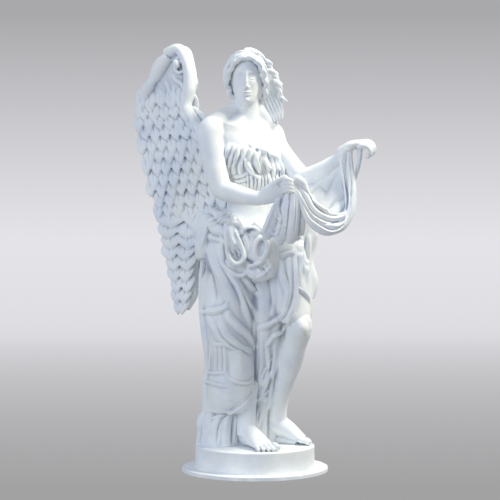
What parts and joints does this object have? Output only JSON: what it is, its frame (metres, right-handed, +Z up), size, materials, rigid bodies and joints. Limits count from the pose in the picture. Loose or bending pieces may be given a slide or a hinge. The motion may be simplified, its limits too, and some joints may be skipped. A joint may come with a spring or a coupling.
{
  "type": "angel statue",
  "caption": "Standing draped marble angel with feathered wings, holding a swag of cloth between its hands, on a round drum and a thin slab; marks a grave or stands in a garden.",
  "frame": {"origin": "middle of the slab's underside, on the ground", "axes": "+Z up; the viewer of the picture stands on the -Y side, and +X is the viewer's right"},
  "size_m": [0.9871, 0.8172, 1.7865],
  "materials": {
    "figure": "white marble, rubbed smooth",
    "right_wing": "white marble, carved feathers",
    "left_wing": "white marble, carved feathers",
    "foot_slab": "white marble, sawn and rubbed"
  },
  "bodies": {
    "root": {"figure": "figure", "right_wing": "right_wing", "left_wing": "left_wing", "foot_slab": "foot_slab"}
  },
  "joints": []
}
